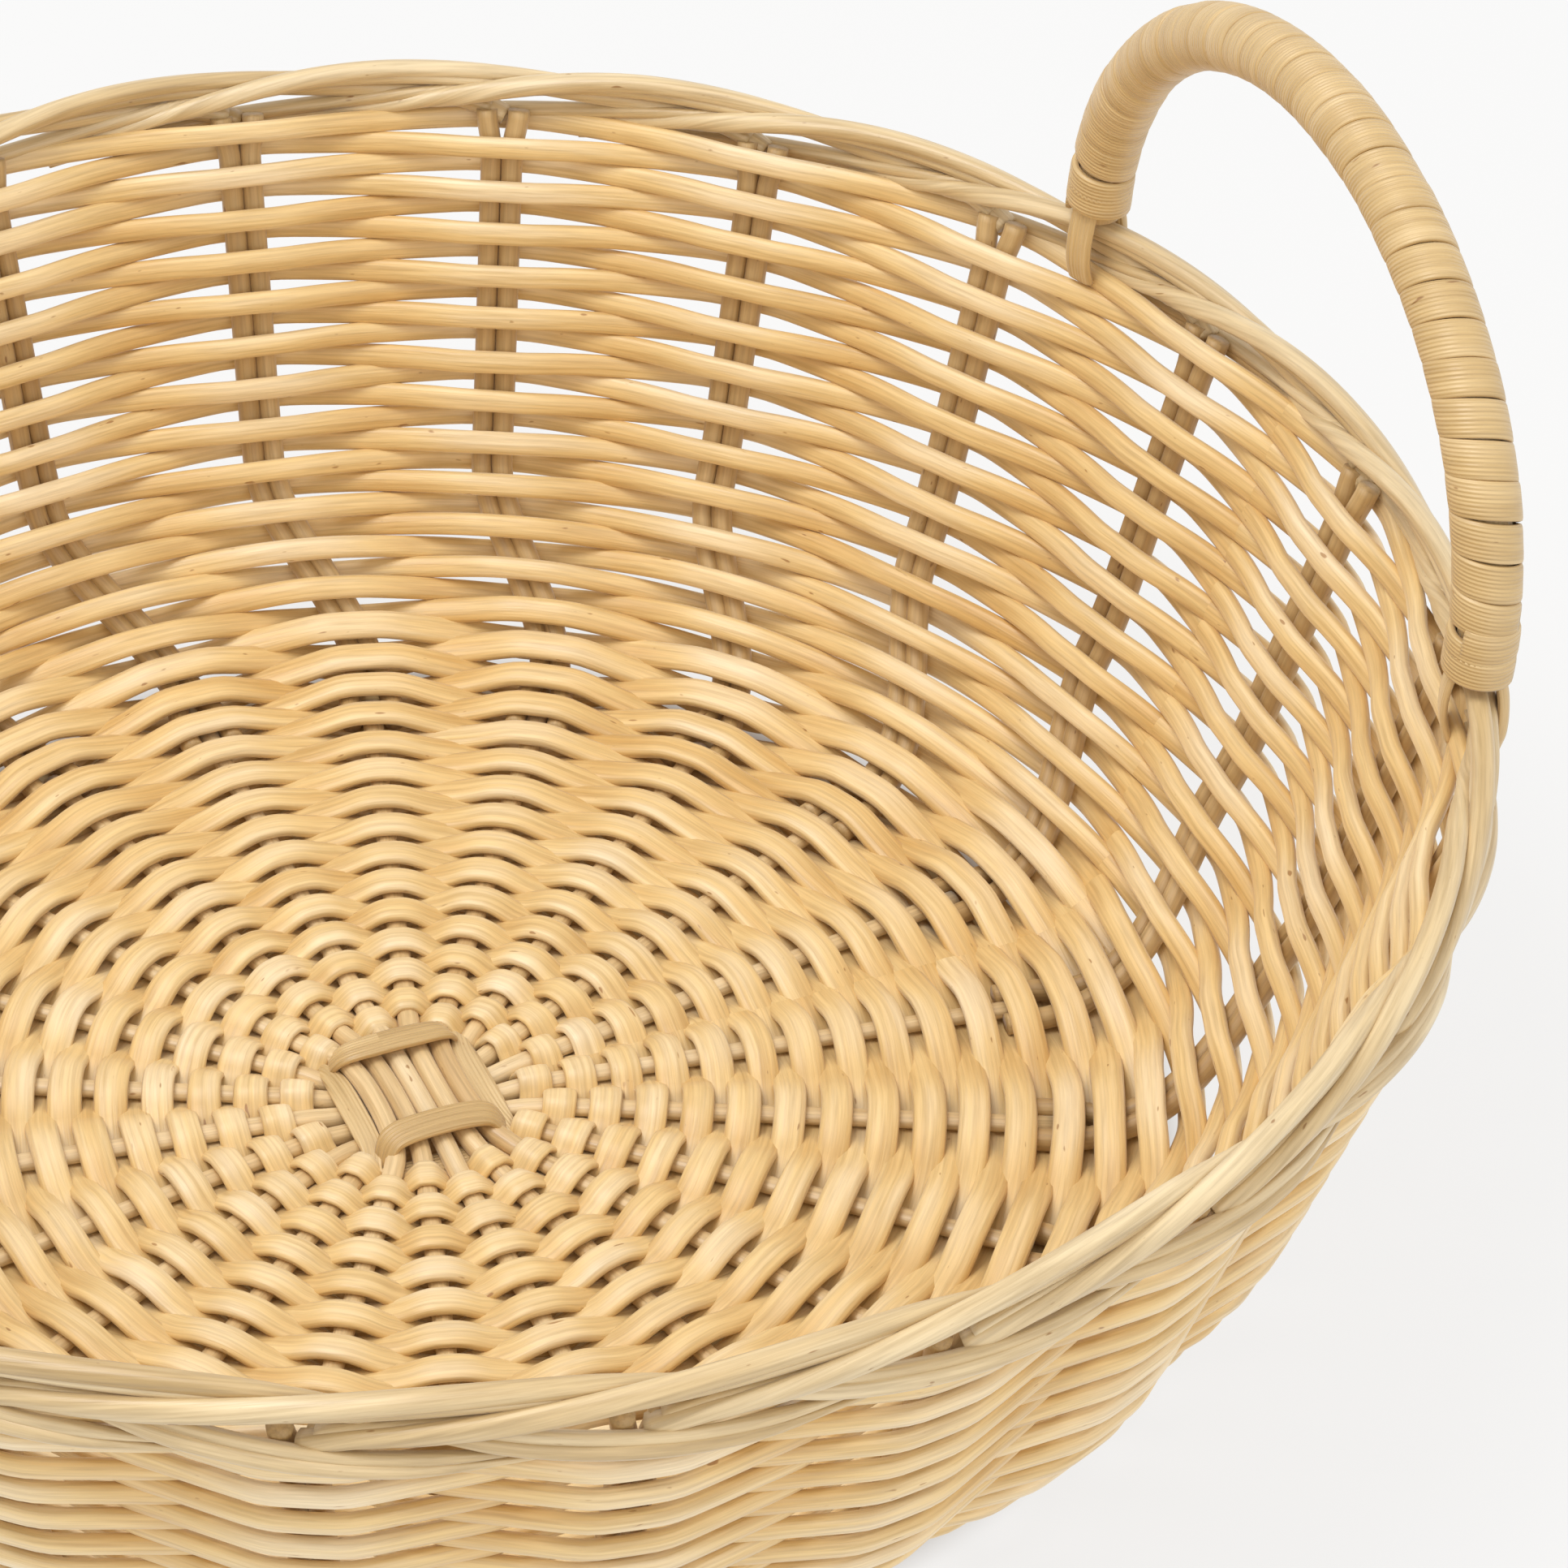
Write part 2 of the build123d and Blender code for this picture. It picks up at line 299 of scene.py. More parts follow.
def stretched_noise(tree, grain, scale, detail=2.0):
    """Noise in the strand's own coordinates."""
    sized = node(tree, "ShaderNodeVectorMath", operation="MULTIPLY")
    sized.inputs[1].default_value = scale
    tree.links.new(grain, sized.inputs[0])
    noise = node(tree, "ShaderNodeTexNoise")
    noise.inputs["Scale"].default_value = 1.0
    noise.inputs["Detail"].default_value = detail
    noise.inputs["Roughness"].default_value = NOISE_ROUGHNESS
    tree.links.new(sized.outputs[0], noise.inputs["Vector"])
    return noise.outputs["Fac"]


def math_node(tree, operation, a, b):
    made = node(tree, "ShaderNodeMath", operation=operation)
    for socket, value in zip(made.inputs, (a, b)):
        if isinstance(value, (int, float)):
            socket.default_value = value
        else:
            tree.links.new(value, socket)
    return made.outputs[0]


def ramp(tree, fac, stops):
    made = node(tree, "ShaderNodeValToRGB")
    elements = made.color_ramp.elements
    while len(elements) < len(stops):
        elements.new(0.5)
    for element, (place, colour) in zip(elements, stops):
        element.position = place
        element.color = (*colour, 1)
    tree.links.new(fac, made.inputs[0])
    return made.outputs[0]


def multiply(tree, a, b):
    made = node(tree, "ShaderNodeMix", data_type="RGBA", blend_type="MULTIPLY")
    made.inputs[0].default_value = 1.0
    tree.links.new(a, made.inputs[6])
    tree.links.new(b, made.inputs[7])
    return made.outputs[2]


def cane(slot, dark, mid, light, line_per_mm, line_depth, roughness, bump, rib_mm=0):
    """Peeled rod or split cane: long fibres, slow colour changes and a silky surface.
    Cane with ribs has fine even grooves along it, rib_mm apart."""
    material = bpy.data.materials.new(slot)
    material.use_nodes = True
    tree = material.node_tree
    shader = tree.nodes["Principled BSDF"]
    grain = node(tree, "ShaderNodeAttribute", attribute_name="grain").outputs["Vector"]
    tint = node(tree, "ShaderNodeAttribute", attribute_name="tint").outputs["Fac"]
    across = line_per_mm * 1000
    streak_across = across * STREAK_ACROSS
    fibres = stretched_noise(tree, grain, (FIBRE_RUN, across, across), FIBRE_DETAIL)
    streaks = stretched_noise(tree, grain, (STREAK_RUN, streak_across, streak_across))
    patches = stretched_noise(tree, grain, PATCH_SCALE)
    mixed = math_node(tree, "ADD", math_node(tree, "MULTIPLY", patches, PATCH_WEIGHT),
                      math_node(tree, "MULTIPLY", streaks, STREAK_WEIGHT))
    mixed = math_node(tree, "ADD", mixed, math_node(tree, "MULTIPLY", tint, TINT_WEIGHT))
    colour = ramp(tree, mixed, [(DARK_AT, dark), (MID_AT, mid), (LIGHT_AT, light)])
    crease = [(1 - line_depth) * part for part in CREASE]
    lines = ramp(tree, fibres, [(CREASE_AT, crease), (FIBRE_AT, WHITE)])
    flecks = stretched_noise(tree, grain, FLECK_SCALE, FLECK_DETAIL)
    marks = ramp(tree, flecks, [(FLECK_AT, FLECK), (CLEAR_AT, WHITE)])
    tree.links.new(multiply(tree, multiply(tree, colour, lines), marks), shader.inputs["Base Color"])
    rough = math_node(tree, "MULTIPLY", fibres, ROUGHNESS_RANGE)
    rough = math_node(tree, "ADD", rough, roughness - ROUGHNESS_RANGE / 2)
    tree.links.new(rough, shader.inputs["Roughness"])
    height = math_node(tree, "ADD", fibres, math_node(tree, "MULTIPLY", streaks, STREAK_RELIEF))
    if rib_mm:
        parts = node(tree, "ShaderNodeSeparateXYZ")
        tree.links.new(grain, parts.inputs[0])
        turns = math_node(tree, "MULTIPLY", parts.outputs[1], math.tau * 1000 / rib_mm)
        wave = math_node(tree, "SINE", turns, 0)
        height = math_node(tree, "ADD", height, math_node(tree, "MULTIPLY", wave, RIB_RELIEF))
    surface = node(tree, "ShaderNodeBump")
    surface.inputs["Strength"].default_value = bump
    surface.inputs["Distance"].default_value = RELIEF_DEPTH
    tree.links.new(height, surface.inputs["Height"])
    tree.links.new(surface.outputs[0], shader.inputs["Normal"])
    shader.inputs["Specular IOR Level"].default_value = SPECULAR
    shader.inputs["Sheen Weight"].default_value = SHEEN
    shader.inputs["Sheen Roughness"].default_value = SHEEN_ROUGHNESS
    return material, slot


STICK = cane("stick_rod", (0.62, 0.41, 0.18), (0.79, 0.58, 0.30), (0.88, 0.71, 0.45),
             line_per_mm=1.6, line_depth=0.26, roughness=0.42, bump=0.6)
STAKE = cane("stake_rod", (0.44, 0.26, 0.09), (0.58, 0.38, 0.15), (0.70, 0.50, 0.24),
             line_per_mm=1.4, line_depth=0.25, roughness=0.55, bump=0.5)
WEAVER = cane("weaver", (0.68, 0.415, 0.13), (0.83, 0.595, 0.265), (0.91, 0.74, 0.48),
              line_per_mm=1.5, line_depth=0.24, roughness=0.46, bump=0.6)
BORDER = cane("border_rod", (0.47, 0.305, 0.11), (0.69, 0.515, 0.27), (0.83, 0.685, 0.44),
              line_per_mm=1.3, line_depth=0.28, roughness=0.42, bump=0.6)
CANE = cane("flat_cane", (0.53, 0.34, 0.125), (0.66, 0.46, 0.20), (0.77, 0.575, 0.31),
            line_per_mm=1.5, line_depth=0.22, roughness=0.44, bump=0.5, rib_mm=0.67)


# ---- base sticks: two crossed groups, spread to even spokes ----
CROSS_BEND = 10.5               # the sticks of a group run side by side as far out as this
FAN_R = 21.0                    # and have spread to their spokes here
STICK_END_R = 104.0
STICK_STATIONS = (STICK_END_R, 70, 40, FAN_R)
STICK_STEPS = 12                # samples from one station to the next
STICK_PITCH = STICK_D + 0.1
STICK_FLAT = 0.7                # the weave presses the sticks to this share of their height
PRESS_START_R = 16
PRESS_END_R = 26
STICK_VARIES = (0.95, 1.05)     # share of the full width


def base_sticks():
    up = np.array([0, 0, 1.0])
    for group, axis_deg, count, side in (("long", 90, 5, 1), ("cross", 0, 6, -1)):
        along = polar(1, axis_deg, 0)
        across = polar(1, axis_deg + 90, 0)
        for i in range(count):
            place = i - (count - 1) / 2
            ends = []
            for degrees, way in ((axis_deg + place * PITCH, 1), (axis_deg + 180 - place * PITCH, -1)):
                middle = along * way * CROSS_BEND + across * place * STICK_PITCH
                middle[2] = STICK_LEVEL + side * STICK_PITCH / 2
                outer = [polar(r, degrees, STICK_LEVEL) for r in STICK_STATIONS]
                ends.append(outer + [middle])
            line = smooth(ends[0] + ends[1][::-1], STICK_STEPS)
            radius = np.linalg.norm(line[:, :2], axis=1)
            height = STICK_D * (1 - (1 - STICK_FLAT) * ease(radius, PRESS_START_R, PRESS_END_R))
            bundle = Bundle(FINE_RING)
            bundle.add(line, up, STICK_D * rng.uniform(*STICK_VARIES), height, square=PEELED_ROD)
            name = f"base_stick_{group}_{i + 1}"
            bundle.make("piece_" + name, STICK, name)


# ---- the flat binding that ties the crossed sticks ----
BAND_W = 5.4                    # where it crosses the long group
BAND_GAP = 0.1
STRIP_W = 4.3                   # where it lies beside the window
STRIP_GAP = 0.15
BINDING_T = 1.1
BINDING_STEPS = 10


def mirrored(quarter):
    """A closed loop from its first quarter, which runs from the Y axis to the X axis. A station is
    its place, its normal and the binding's width."""
    half = quarter + [(x, -y, z, nx, -ny, nz, w) for x, y, z, nx, ny, nz, w in quarter[-2::-1]]
    return half + [(-x, y, z, -nx, ny, nz, w) for x, y, z, nx, ny, nz, w in half[-2:0:-1]]


def cross_binding():
    """One loop lies over the long group and dives at the corners under the cross group; the other
    lies over the cross group beside the window and passes under the long group."""
    top = STICK_LEVEL + STICK_PITCH + BINDING_T / 2 + BAND_GAP
    bottom = 2 * STICK_LEVEL - top
    over_cross = STICK_LEVEL + BINDING_T / 2 + STRIP_GAP
    under_long = 2 * STICK_LEVEL - over_cross
    band = [
        (0.0, 10.6, top + 0.5, 0, 0.1, 1, BAND_W),
        (4.5, 10.6, top + 0.35, 0.1, 0.1, 1, BAND_W),
        (8.4, 10.9, top - 0.2, 0.5, 0.2, 0.9, BAND_W * 0.95),
        (10.0, 11.8, top - 2.2, 1, 0.4, 0.3, BAND_W * 0.8),
        (10.4, 12.8, STICK_LEVEL, 1, 0.5, 0, BAND_W * 0.7),
        (10.8, 12.0, bottom + 2.0, 0.8, 0.5, -0.6, BAND_W * 0.7),
        (11.3, 9.5, bottom, 0.2, 0.1, -1, BAND_W * 0.8),
        (11.3, 4.5, bottom, 0, 0, -1, BAND_W * 0.8),
        (11.3, 0.0, bottom, 0, 0, -1, BAND_W * 0.8),
    ]
    strip = [
        (0.0, 14.6, under_long, 0, 0, -1, STRIP_W),
        (5.0, 14.6, under_long, 0, 0, -1, STRIP_W),
        (9.5, 14.6, under_long + 0.2, 0, 0, -1, STRIP_W * 0.7),
        (12.0, 13.8, STICK_LEVEL - 0.6, 0.8, 0.6, 0.2, STRIP_W * 0.5),
        (11.6, 11.2, over_cross, 0.3, 0.3, 1, STRIP_W * 0.6),
        (11.0, 8.0, over_cross + 0.15, 0.1, 0, 1, STRIP_W * 0.9),
        (10.9, 4.0, over_cross + 0.3, 0, 0, 1, STRIP_W),
        (10.9, 0.0, over_cross + 0.3, 0, 0, 1, STRIP_W),
    ]
    bundle = Bundle(FINE_RING)
    for quarter in (strip, band):
        loop = smooth_loop(mirrored(quarter), BINDING_STEPS)
        bundle.add(loop[:, :3], loop[:, 3:6], loop[:, 6], BINDING_T, closed=True, square=FLAT_BAND)
    bundle.make("piece_cross_binding", CANE, "cross_binding")


# ---- side stakes ----
STAKE_FOOT_S = 99.0
STAKE_TOP_S = BULGE_S + 49.0
STAKE_SAMPLES = 90
STAKE_OFFSET = 1.78             # from the middle of a pair to each stake's centre
STAKE_ASIDE = 1.9               # in the base, which has a stick between them, this much more
STAKE_SPREAD = 1.0              # the pair leans apart by this much under the border
STAKE_VARIES = (0.94, 1.0)      # share of the full width
STAKE_DEPTH = 0.97              # share of the full depth


def side_stakes():
    s = np.linspace(STAKE_FOOT_S, STAKE_TOP_S, STAKE_SAMPLES)
    offset = STAKE_OFFSET + STAKE_ASIDE * (1 - ease(s, BASE_FLAT_R - 3, BASE_FLAT_R + 9))
    offset += STAKE_SPREAD * ease(s, STAKE_TOP_S - 8, STAKE_TOP_S)
    for i in range(GROUPS):
        degrees = SPOKE_DEG + i * PITCH
        bundle = Bundle()
        for side in (-1, 1):
            line = []
            normals = []
            for at, away in zip(s, offset):
                azimuth = degrees + stake_lead(at)
                slope = profile(at)[2]
                line.append(on_wall(at, azimuth, side * away))
                normals.append(polar(-math.sin(slope), azimuth, math.cos(slope)))
            width = STAKE_D * rng.uniform(*STAKE_VARIES)
            bundle.add(line, normals, width, STAKE_D * STAKE_DEPTH, square=PEELED_ROD)
        name = f"side_stake_{i + 1:02d}"
        bundle.make("piece_" + name, STAKE, name)


# ---- woven rows ----
STEPS = 20                      # samples from one crossing to the next
STEP_POWER = 1.4                # above 1, they lie closer together near the crossings
INNER_ROWS = 2                  # rows that only the visible weave has, round the crossed sticks
TOP_ROWS = 1                    # and under the border
PAIRS_START_S = 88              # from here the stake pairs take over from the sticks,
PAIRS_END_S = 112               # and here they have
ROW_GAP = 0.05                  # between a weaver and a base stick
PAIR_GAP = 0.25                 # this much more at the stakes
FLAT_HALF = 0.6                 # a bend is flat this far to both sides of a stick's middle
PAIR_FLAT = 2.6                 # and this much further over a pair of stakes
WRAP_RUN = 2.2                  # then it is round for this length and the weaver's thickness
WRAP_LIMIT = 0.42               # in spaces from the crossing
BEND_POWER = 1.35               # above 1, a weaver stays nearer the middle between two spokes
PAIR_POWER = 0.2                # and this much less on the side
WANDER = 0.1                    # a row wanders up and down by this much, in waves round the basket
WANDER_CYCLES = (3, 5, 9, 14)
WANDER_START_S = 30
WANDER_FULL_S = 110
SWELL = 0.04                    # a weaver's width varies by this share
SWELL_CYCLES = 7
WIDTH_POWER = 1.5
WAVE_START = (0, 6.28)          # radians, one turn
ROW_TINT = (0.2, 0.8)
PAINTED_BEND_SHADING = 0.8                 # painted light and shade: a weaver is this much lighter on the bends, where it stands out of the weave, than between them, where it passes in its neighbours' shade


def strand_size(s):
    """The weaver's widths over a spoke, under a spoke and between, and its thickness. In the base
    it is flat, and packed so that it spreads under the spokes; on the side it is rounder."""
    turn_up = ease(s, 84, 102)      # from 0 to 1 round the edge of the base
    on_side = ease(s, 116, 132)     # and up the turn-up
    over = 5.4 - 1.4 * on_side
    under = 7.4 - 0.4 * turn_up - 3.0 * on_side
    between = 5.5 - 1.5 * on_side
    thick = 1.5 + 0.6 * ease(s, 25, 50) + 0.5 * ease(s, 60, 125)
    return over, under, between, thick


def weave(u, flat, wrap):
    """1 at even whole numbers, -1 at odd ones: flat over each spoke, then round and straight."""
    nearest = np.round(u)
    away = np.abs(u - nearest)
    slope = 1 / (0.5 - (flat + wrap) / 2)
    curved = 1 - slope * np.maximum(away - flat, 0) ** 2 / (2 * (wrap - flat))
    straight = slope * (0.5 - away)
    return np.where(away < wrap, curved, straight) * np.where(nearest % 2 == 0, 1, -1)


def random_wave(cycles, u):
    """A sine wave that fits cycles times round the basket, with a random start."""
    return np.sin(cycles * u * 2 * math.pi / GROUPS + rng.uniform(*WAVE_START))


def row(bundle, index):
    s = FIRST_ROW_S + index * ROW_PITCH + max(0, index - BASE_ROWS) * SIDE_EXTRA
    radius, height, slope = profile(s)
    over, under, between, thick = strand_size(s)
    pairs = ease(s, PAIRS_START_S, PAIRS_END_S)
    half_depth = (STICK_D * STICK_FLAT * (1 - pairs) + STAKE_D * pairs) / 2
    lift = half_depth + thick / 2 + ROW_GAP + PAIR_GAP * pairs
    space = radius * math.radians(PITCH)
    flat = (FLAT_HALF + PAIR_FLAT * pairs) / space
    wrap = min(flat + (WRAP_RUN + thick) / space, WRAP_LIMIT)
    step = (np.arange(STEPS) / STEPS - 0.5) * 2
    step = 0.5 * np.sign(step) * np.abs(step) ** STEP_POWER
    u = (np.arange(GROUPS)[:, None] + step).ravel()
    angle = np.radians(SPOKE_DEG + stake_lead(s) + u * PITCH)
    bend = weave(u, flat, wrap) * (1 if index % 2 else -1)
    bend = np.sign(bend) * np.abs(bend) ** (BEND_POWER - PAIR_POWER * pairs)
    wander = np.zeros(len(u))
    for cycles in WANDER_CYCLES:
        wander += WANDER * random_wave(cycles, u)
    wander *= ease(s, WANDER_START_S, WANDER_FULL_S)
    out = np.stack([np.cos(angle), np.sin(angle), np.zeros(len(u))], 1)
    up = np.array([0, 0, 1.0])
    normal = -math.sin(slope) * out + math.cos(slope) * up
    along_wall = math.cos(slope) * out + math.sin(slope) * up
    path = out * radius + up * height + normal * (bend * lift)[:, None] + along_wall * wander[:, None]
    swell = 1 + SWELL * random_wave(SWELL_CYCLES, u)
    width = between + (np.where(bend > 0, over, under) - between) * np.abs(bend) ** WIDTH_POWER
    # The weaver's tint is the row's random tone plus painted light and shade: lighter on the bends, darker
    # between them.
    tint = rng.uniform(*ROW_TINT) + PAINTED_BEND_SHADING * (np.abs(bend) - 0.5)
    bundle.add(path, normal, width * swell, thick, closed=True, square=FLAT_WEAVER, tint=tint)


def woven_rows():
    bands = [
        ("base_weave", 0, BASE_ROWS, BASE_BANDS),
        ("side_weave", BASE_ROWS, BASE_ROWS + SIDE_ROWS, SIDE_BANDS),
    ]
    for name, start, stop, count in bands:
        for band in range(count):
            low = start + (stop - start) * band // count
            high = start + (stop - start) * (band + 1) // count
            if low == 0:
                low -= INNER_ROWS
            if high == BASE_ROWS + SIDE_ROWS:
                high += TOP_ROWS
            bundle = Bundle()
            for index in range(low, high):
                row(bundle, index)
            bundle.make(f"piece_{name}_{band + 1}", WEAVER, f"{name}_{band + 1}")


# ---- border ----
BORDER_R = 163.0
BORDER_TOP = RIM_Z - 2.2        # the highest centre line
BORDER_MIDDLE = 4.5             # the middle of the border's section lies this far below it
BORDER_ROD_W = 3.9
BORDER_ROD_T = 3.1
BORDER_VARIES = (0.95, 1.03)    # share of the full size
BORDER_STRAY = 0.02             # in spaces, either way
SECOND_DELAY = 0.05             # the second rod of a pair runs this many spaces behind the first,
SECOND_DEPTH = 1.5              # nearer the middle of the border's section
SECOND_SIZE = 0.8               # and is slimmer
ROD_TAPER = 0.15
TIP_TAPER = 0.6
TIP_START = 0.86
BORDER_STEPS = 9


def border_line(delay, depth):
    """Azimuth in spaces, radius and height along one border rod. It rises outside its own stake,
    crosses the top, drops inside, comes out through the slot below and runs on low outside."""
    stations = [
        (0.00, 0.0, -9.0),
        (0.10, 1.4, -7.0),
        (0.35, 2.2, -5.3),
        (0.75, 2.0, -2.9),
        (1.15, 1.2, -0.7),
        (1.55, 0.0, 0.0),
        (1.90, -1.5, -1.6),
        (2.15, -1.7, -4.2),
        (2.38, -0.4, -6.7),
        (2.62, 1.8, -8.9),
        (3.00, 3.0, -10.8),
        (3.30, 2.4, -11.5),
        (3.55, 1.2, -11.9),
        (3.72, 0.2, -12.1),
    ]
    points = []
    for space, out, up in stations:
        inward = np.array([-out, -BORDER_MIDDLE - up])
        inward = inward / max(np.linalg.norm(inward), 1e-6) * depth
        points.append((space + delay, BORDER_R + out + inward[0], BORDER_TOP + up + inward[1]))
    return smooth(points, BORDER_STEPS)


def border_rods():
    """Each stake pair turns into two rods that run together, the second one behind the first."""
    bundles = [Bundle() for _ in range(4)]
    for place in range(2 * GROUPS):
        second = place % 2
        start = SPOKE_DEG + STAKE_LEAD_DEG + (place // 2) * PITCH
        stray = rng.uniform(-BORDER_STRAY, BORDER_STRAY)
        line = border_line(second * SECOND_DELAY + stray, second * SECOND_DEPTH)
        path = [polar(r, start + space * PITCH, z) for space, r, z in line]
        normals = [
            polar(r - BORDER_R, start + space * PITCH, z - BORDER_TOP + BORDER_MIDDLE)
            for space, r, z in line
        ]
        share = np.linspace(0, 1, len(line))
        taper = 1 - ROD_TAPER * share - TIP_TAPER * ease(share, TIP_START, 1.0)
        size = rng.uniform(*BORDER_VARIES) * (SECOND_SIZE if second else 1) * taper
        bundles[place % 4].add(path, normals, BORDER_ROD_W * size, BORDER_ROD_T * size)
    for k, bundle in enumerate(bundles):
        name = f"border_rods_{k + 1}"
        bundle.make("piece_" + name, BORDER, name)


# ---- handles ----
HANDLE_FOOT = math.radians(24.4)
HANDLE_FOOT_R = 162.9
HANDLE_LEAN = math.radians(3.3)
CORE_D = 8.0
CANE_W = 6.1
CANE_T = 1.3
WRAP_R = CORE_D / 2 + 0.25      # the wrapping's inner radius
WRAP_STEPS = 40                 # samples in one turn
WRAP_START = 0.8                # radians round the bow
WRAP_UNEVEN = 0.25              # a turn strays along the bow by this much
WRAP_LOOSE = 0.12               # and away from it
FOOT_BAND_LENGTH = 9.0
FOOT_BAND_START = 2.6           # from the end of the bow
FOOT_BAND_W = 5.2
FOOT_BAND_TURNS = 2.3
FOOT_BAND_UNEVEN = 0.1
HANDLE_SEAT = RIM_Z + 0.1
HANDLE_LEG = 4.0                # the bow is straight for this length at each end
HANDLE_RISE = (BOW_TOP_Z - CORE_D / 2 - HANDLE_SEAT - HANDLE_LEG) / math.cos(HANDLE_LEAN)
HANDLE_FACING = np.array([math.cos(HANDLE_LEAN), 0, -math.sin(HANDLE_LEAN)])
ARCH_SAMPLES = 2000
CORE_SAMPLES = 90
WRAP_PATH_SAMPLES = 1500
INSIDE_END_W = 5.0              # the flat rod end inside the border
INSIDE_END_T = 1.4
OUTSIDE_END_W = 2.8             # the two rod ends outside it
OUTSIDE_END_T = 1.9
OUTSIDE_APART = 1.4             # from the middle of the two to each one's centre
OUTSIDE_TAPER = 0.7
OUTSIDE_TAPER_START = 0.8
END_STEPS = 8


def bow_line(count):
    """The bow's centre line at +X, from foot to foot, with even steps, and its length."""
    half = HANDLE_FOOT_R * math.sin(HANDLE_FOOT)
    a = np.linspace(0, math.pi, ARCH_SAMPLES)
    up = HANDLE_RISE * np.sin(a)
    x = HANDLE_FOOT_R * math.cos(HANDLE_FOOT) + up * math.sin(HANDLE_LEAN)
    line = np.stack([x, -half * np.cos(a), HANDLE_SEAT + HANDLE_LEG + up * math.cos(HANDLE_LEAN)], 1)
    feet = line[[0, -1]] - np.array([0, 0, HANDLE_LEG])
    line = np.concatenate([feet[:1], line, feet[1:]])
    reach = np.concatenate([[0], np.cumsum(np.linalg.norm(np.diff(line, axis=0), axis=1))])
    at = np.linspace(0, reach[-1], count)
    return np.stack([np.interp(at, reach, line[:, k]) for k in range(3)], 1), reach[-1]


def wound(bundle, start, end, turns, width, thick, uneven):
    """Flat cane wound round the bow, from start to end along it."""
    line, length = bow_line(WRAP_PATH_SAMPLES)
    turn = np.linspace(0, turns, int(turns * WRAP_STEPS) + 1)
    whole = np.arange(int(turns) + 2)
    jitter = np.interp(turn, whole, [rng.uniform(-1, 1) for _ in whole])
    at = np.clip(start + (end - start) * turn / turns + jitter * uneven, 0, length)
    places = np.linspace(0, length, len(line))
    centre = np.stack([np.interp(at, places, line[:, k]) for k in range(3)], 1)
    ahead = np.gradient(line, axis=0)
    ahead = np.stack([np.interp(at, places, ahead[:, k]) for k in range(3)], 1)
    ahead /= np.linalg.norm(ahead, axis=1, keepdims=True)
    cross = np.cross(HANDLE_FACING, ahead)
    phase = 2 * math.pi * turn + WRAP_START
    out = np.cos(phase)[:, None] * HANDLE_FACING + np.sin(phase)[:, None] * cross
    r = WRAP_R + thick / 2 + jitter * WRAP_LOOSE
    bundle.add(centre + out * r[:, None], out, width, thick, square=FLAT_CANE, tint=0.5)


def bow_foot(bundle, side_y):
    """The rod ends that leave the wrapping and hold the border: one flat inside, two round outside."""
    degrees = side_y * math.degrees(HANDLE_FOOT)
    seat = HANDLE_SEAT
    around = polar(1, degrees + 90, 0)
    out = polar(1, degrees, 0)
    inside = [
        polar(HANDLE_FOOT_R - 2.6, degrees, seat + 8),
        polar(HANDLE_FOOT_R - 3.2, degrees, seat + 3),
        polar(BORDER_R - 4.5, degrees, seat - 2),
        polar(BORDER_R - 4.8, degrees, seat - 6),
        polar(BORDER_R - 4.4, degrees, seat - 9.5),
        polar(BORDER_R - 3.4, degrees, seat - 12),
    ]
    bundle.add(smooth(inside, END_STEPS), out, INSIDE_END_W, INSIDE_END_T, square=SPLIT_ROD)
    for sideways in (-OUTSIDE_APART, OUTSIDE_APART):
        outside = [
            polar(HANDLE_FOOT_R + 2.2, degrees, seat + 6) + around * sideways * 0.6,
            polar(HANDLE_FOOT_R + 2.8, degrees, seat + 2) + around * sideways * 0.8,
            polar(BORDER_R + 4.1, degrees, seat - 2) + around * sideways,
            polar(BORDER_R + 4.6, degrees, seat - 7) + around * sideways,
            polar(BORDER_R + 4.4, degrees, seat - 11) + around * sideways * 1.1,
            polar(BORDER_R + 3.8, degrees, seat - 16) + around * sideways * 1.2,
        ]
        line = smooth(outside, END_STEPS)
        share = np.linspace(0, 1, len(line))
        taper = 1 - OUTSIDE_TAPER * ease(share, OUTSIDE_TAPER_START, 1)
        bundle.add(line, out, OUTSIDE_END_W * taper, OUTSIDE_END_T * taper)


def handle(name, degrees):
    line, length = bow_line(CORE_SAMPLES)
    bow = Bundle(BOW_RING)
    bow.add(line, HANDLE_FACING, CORE_D, CORE_D, square=ROUND_ROD)
    for side_y in (-1, 1):
        bow_foot(bow, side_y)
    turns = round((length - 2 * FOOT_BAND_LENGTH) / CANE_W)
    low = FOOT_BAND_LENGTH + 2
    # Each one's label, start, end, turns, width, thickness and unevenness.
    windings = [
        ("wrap", low, length - low, turns, CANE_W, CANE_T, WRAP_UNEVEN),
        ("foot_band_near", FOOT_BAND_START, FOOT_BAND_LENGTH - 1,
         FOOT_BAND_TURNS, FOOT_BAND_W, CANE_T + 0.2, FOOT_BAND_UNEVEN),
        ("foot_band_far", length - FOOT_BAND_LENGTH + 1, length - FOOT_BAND_START,
         FOOT_BAND_TURNS, FOOT_BAND_W, CANE_T + 0.05, FOOT_BAND_UNEVEN),
    ]
    pieces = [(bow, "bow")]
    for label, *winding in windings:
        bundle = Bundle(FINE_RING)
        wound(bundle, *winding)
        pieces.append((bundle, label))
    for bundle, label in pieces:
        bundle.points = [turned(p, degrees) for p in bundle.points]
        bundle.make(f"piece_{name}_{label}", CANE, f"{name}_{label}")


base_sticks()
cross_binding()
side_stakes()
woven_rows()
border_rods()
handle("handle_right", 0)
handle("handle_left", 180)


